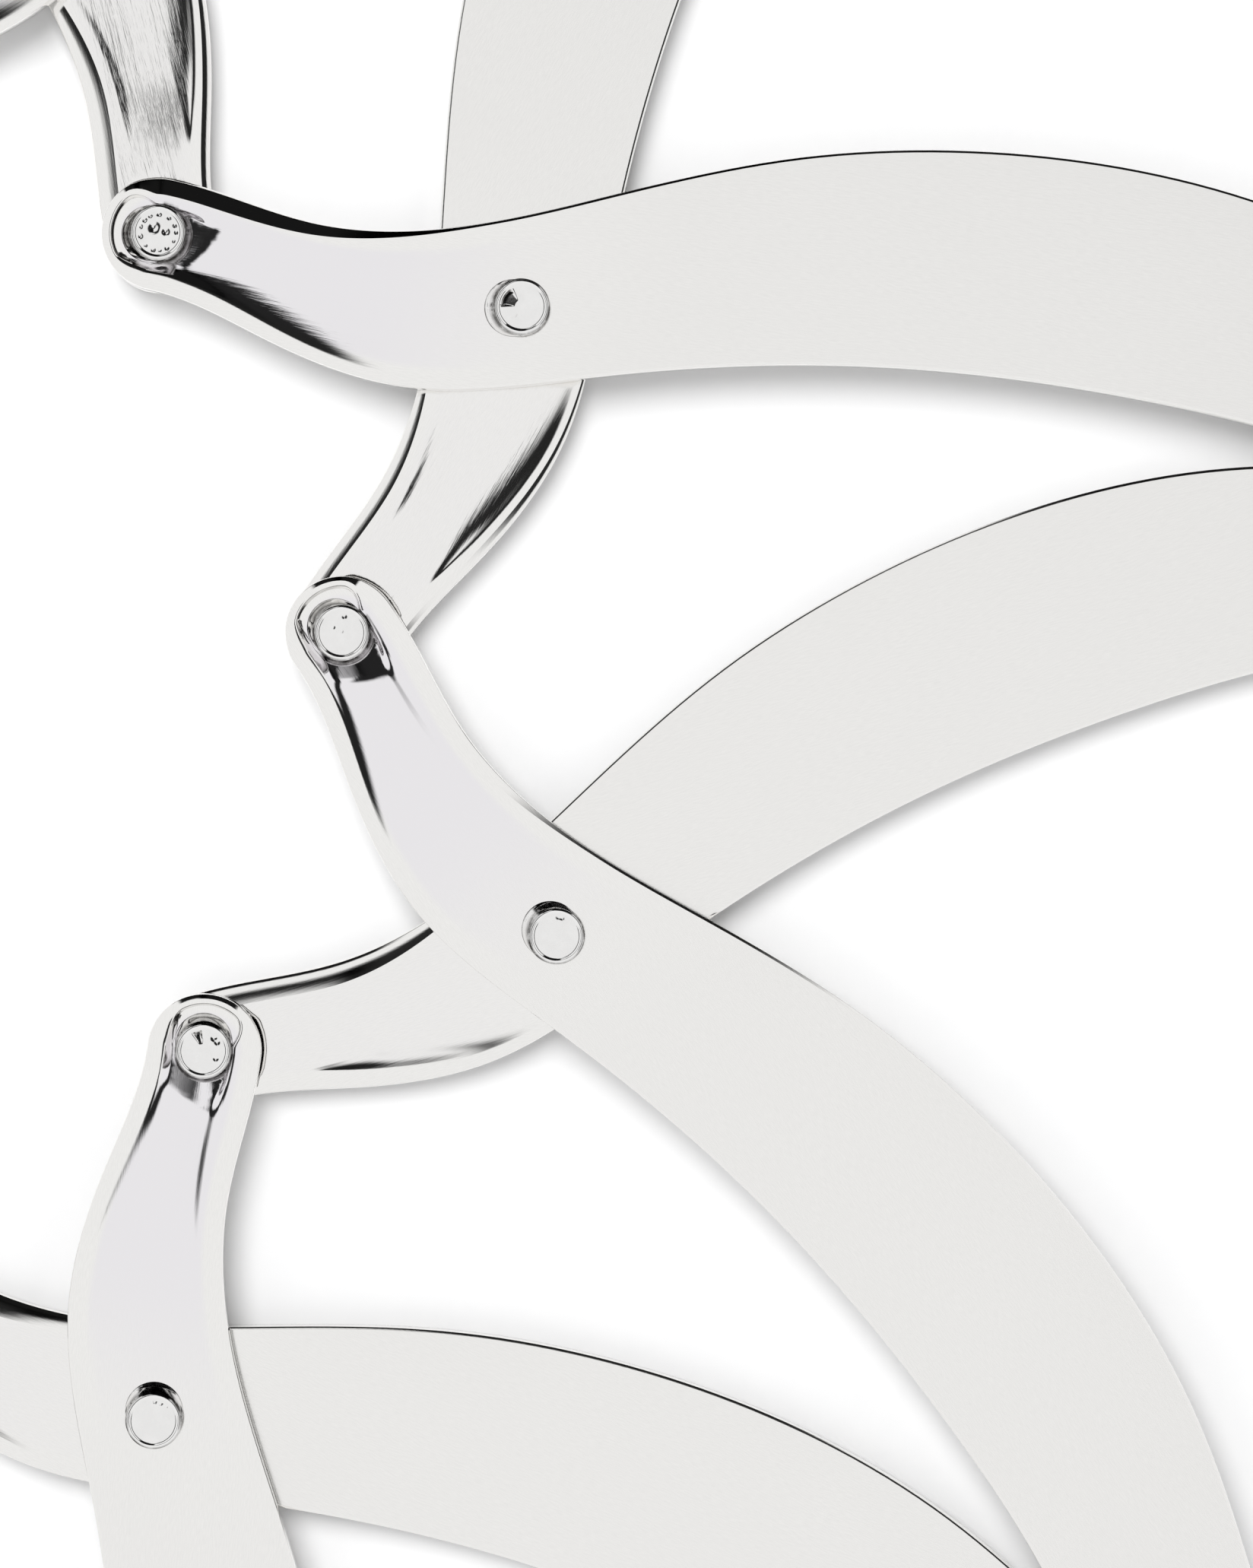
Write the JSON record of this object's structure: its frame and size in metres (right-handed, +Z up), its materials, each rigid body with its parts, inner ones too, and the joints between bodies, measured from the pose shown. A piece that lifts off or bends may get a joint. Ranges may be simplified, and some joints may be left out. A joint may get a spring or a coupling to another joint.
{
  "type": "expanding riveted blade ring",
  "caption": "Expanding table ring of S-shaped polished steel blades riveted in crossing pairs; opens like a flower and folds into a compact fan.",
  "frame": {"origin": "middle of the bottom of the whole box, on the table that the lower rivet heads stand on", "axes": "+Z up from the table; the gap between the two ends of the chain faces -X"},
  "size_m": [0.296, 0.2956, 0.0054],
  "materials": {
    "blade_steel": "fine lengthwise satin on the flats, mirror polish round the dished inner end and along the edges",
    "rivet_steel": "polished, with small setting marks",
    "washer_nylon": "natural nylon"
  },
  "bodies": {
    "top_1": {"blade_top_1": "blade_steel", "crossing_rivet_1": "rivet_steel", "outer_rivet_head_1": "rivet_steel", "end_rivet_inner_first": "rivet_steel"},
    "bottom_1": {"blade_bottom_1": "blade_steel", "washers_1": "washer_nylon", "end_rivet_outer_first": "rivet_steel"},
    "top_2": {"blade_top_2": "blade_steel", "crossing_rivet_2": "rivet_steel", "inner_rivet_1": "rivet_steel", "outer_rivet_head_2": "rivet_steel"},
    "bottom_2": {"blade_bottom_2": "blade_steel", "washers_2": "washer_nylon", "outer_rivet_foot_1": "rivet_steel"},
    "top_3": {"blade_top_3": "blade_steel", "crossing_rivet_3": "rivet_steel", "inner_rivet_2": "rivet_steel", "outer_rivet_head_3": "rivet_steel"},
    "bottom_3": {"blade_bottom_3": "blade_steel", "washers_3": "washer_nylon", "outer_rivet_foot_2": "rivet_steel"},
    "top_4": {"blade_top_4": "blade_steel", "crossing_rivet_4": "rivet_steel", "inner_rivet_3": "rivet_steel", "outer_rivet_head_4": "rivet_steel"},
    "bottom_4": {"blade_bottom_4": "blade_steel", "washers_4": "washer_nylon", "outer_rivet_foot_3": "rivet_steel"},
    "top_5": {"blade_top_5": "blade_steel", "crossing_rivet_5": "rivet_steel", "inner_rivet_4": "rivet_steel", "outer_rivet_head_5": "rivet_steel"},
    "bottom_5": {"blade_bottom_5": "blade_steel", "washers_5": "washer_nylon", "outer_rivet_foot_4": "rivet_steel"},
    "top_6": {"blade_top_6": "blade_steel", "crossing_rivet_6": "rivet_steel", "inner_rivet_5": "rivet_steel", "outer_rivet_head_6": "rivet_steel"},
    "bottom_6": {"blade_bottom_6": "blade_steel", "washers_6": "washer_nylon", "outer_rivet_foot_5": "rivet_steel"},
    "top_7": {"blade_top_7": "blade_steel", "crossing_rivet_7": "rivet_steel", "inner_rivet_6": "rivet_steel", "outer_rivet_head_7": "rivet_steel"},
    "bottom_7": {"blade_bottom_7": "blade_steel", "washers_7": "washer_nylon", "outer_rivet_foot_6": "rivet_steel"},
    "top_8": {"blade_top_8": "blade_steel", "crossing_rivet_8": "rivet_steel", "inner_rivet_7": "rivet_steel", "end_rivet_outer_last": "rivet_steel"},
    "bottom_8": {"blade_bottom_8": "blade_steel", "washers_8": "washer_nylon", "outer_rivet_foot_7": "rivet_steel", "end_rivet_inner_last": "rivet_steel"}
  },
  "joints": [
    {"name": "crossing_pivot_5", "type": "hinge", "parent": "top_5", "child": "bottom_5", "pos_m": [0.0591, -0.02017, 0.0027], "axis": [0, 0, 1], "range_deg": [-51.64, 1.5]},
    {"name": "inner_pivot_5", "type": "hinge", "parent": "bottom_5", "child": "top_6", "pos_m": [0.03342, -0.02852, 0.0027], "axis": [0, 0, -1], "range_deg": [-83.25, 2.42]},
    {"name": "crossing_pivot_6", "type": "hinge", "parent": "top_6", "child": "bottom_6", "pos_m": [0.02988, -0.05529, 0.0027], "axis": [0, 0, 1], "range_deg": [-51.64, 1.5]},
    {"name": "inner_pivot_6", "type": "hinge", "parent": "bottom_6", "child": "top_7", "pos_m": [0.00539, -0.04392, 0.0027], "axis": [0, 0, -1], "range_deg": [-83.25, 2.42]},
    {"name": "crossing_pivot_7", "type": "hinge", "parent": "top_7", "child": "bottom_7", "pos_m": [-0.01543, -0.06111, 0.0027], "axis": [0, 0, 1], "range_deg": [-51.64, 1.5]},
    {"name": "inner_pivot_7", "type": "hinge", "parent": "bottom_7", "child": "top_8", "pos_m": [-0.02562, -0.03611, 0.0027], "axis": [0, 0, -1], "range_deg": [-83.25, 2.42]},
    {"name": "crossing_pivot_8", "type": "hinge", "parent": "top_8", "child": "bottom_8", "pos_m": [-0.05257, -0.03451, 0.0027], "axis": [0, 0, 1], "range_deg": [-51.64, 1.5]},
    {"name": "inner_pivot_4", "type": "hinge", "parent": "top_5", "child": "bottom_4", "pos_m": [0.04346, 0.00184, 0.0027], "axis": [0, 0, 1], "range_deg": [-83.25, 2.42]},
    {"name": "crossing_pivot_4", "type": "hinge", "parent": "bottom_4", "child": "top_4", "pos_m": [0.05657, 0.02545, 0.0027], "axis": [0, 0, -1], "range_deg": [-51.64, 1.5]},
    {"name": "inner_pivot_3", "type": "hinge", "parent": "top_4", "child": "bottom_3", "pos_m": [0.03012, 0.03092, 0.0027], "axis": [0, 0, 1], "range_deg": [-83.25, 2.42]},
    {"name": "crossing_pivot_3", "type": "hinge", "parent": "bottom_3", "child": "top_3", "pos_m": [0.02364, 0.05713, 0.0027], "axis": [0, 0, -1], "range_deg": [-51.64, 1.5]},
    {"name": "inner_pivot_2", "type": "hinge", "parent": "top_3", "child": "bottom_2", "pos_m": [0.00056, 0.04312, 0.0027], "axis": [0, 0, 1], "range_deg": [-83.25, 2.42]},
    {"name": "crossing_pivot_2", "type": "hinge", "parent": "bottom_2", "child": "top_2", "pos_m": [-0.02204, 0.0579, 0.0027], "axis": [0, 0, -1], "range_deg": [-51.64, 1.5]},
    {"name": "inner_pivot_1", "type": "hinge", "parent": "top_2", "child": "bottom_1", "pos_m": [-0.0294, 0.03192, 0.0027], "axis": [0, 0, 1], "range_deg": [-83.25, 2.42]},
    {"name": "crossing_pivot_1", "type": "hinge", "parent": "bottom_1", "child": "top_1", "pos_m": [-0.05601, 0.02735, 0.0027], "axis": [0, 0, -1], "range_deg": [-51.64, 1.5]}
  ],
  "couplings": [
    {"joint": "inner_pivot_5", "follows": "crossing_pivot_5", "ratio": 1.6121},
    {"joint": "crossing_pivot_6", "follows": "crossing_pivot_5", "ratio": 1},
    {"joint": "inner_pivot_6", "follows": "crossing_pivot_5", "ratio": 1.6121},
    {"joint": "crossing_pivot_7", "follows": "crossing_pivot_5", "ratio": 1},
    {"joint": "inner_pivot_7", "follows": "crossing_pivot_5", "ratio": 1.6121},
    {"joint": "crossing_pivot_8", "follows": "crossing_pivot_5", "ratio": 1},
    {"joint": "inner_pivot_4", "follows": "crossing_pivot_5", "ratio": 1.6121},
    {"joint": "crossing_pivot_4", "follows": "crossing_pivot_5", "ratio": 1},
    {"joint": "inner_pivot_3", "follows": "crossing_pivot_5", "ratio": 1.6121},
    {"joint": "crossing_pivot_3", "follows": "crossing_pivot_5", "ratio": 1},
    {"joint": "inner_pivot_2", "follows": "crossing_pivot_5", "ratio": 1.6121},
    {"joint": "crossing_pivot_2", "follows": "crossing_pivot_5", "ratio": 1},
    {"joint": "inner_pivot_1", "follows": "crossing_pivot_5", "ratio": 1.6121},
    {"joint": "crossing_pivot_1", "follows": "crossing_pivot_5", "ratio": 1}
  ]
}
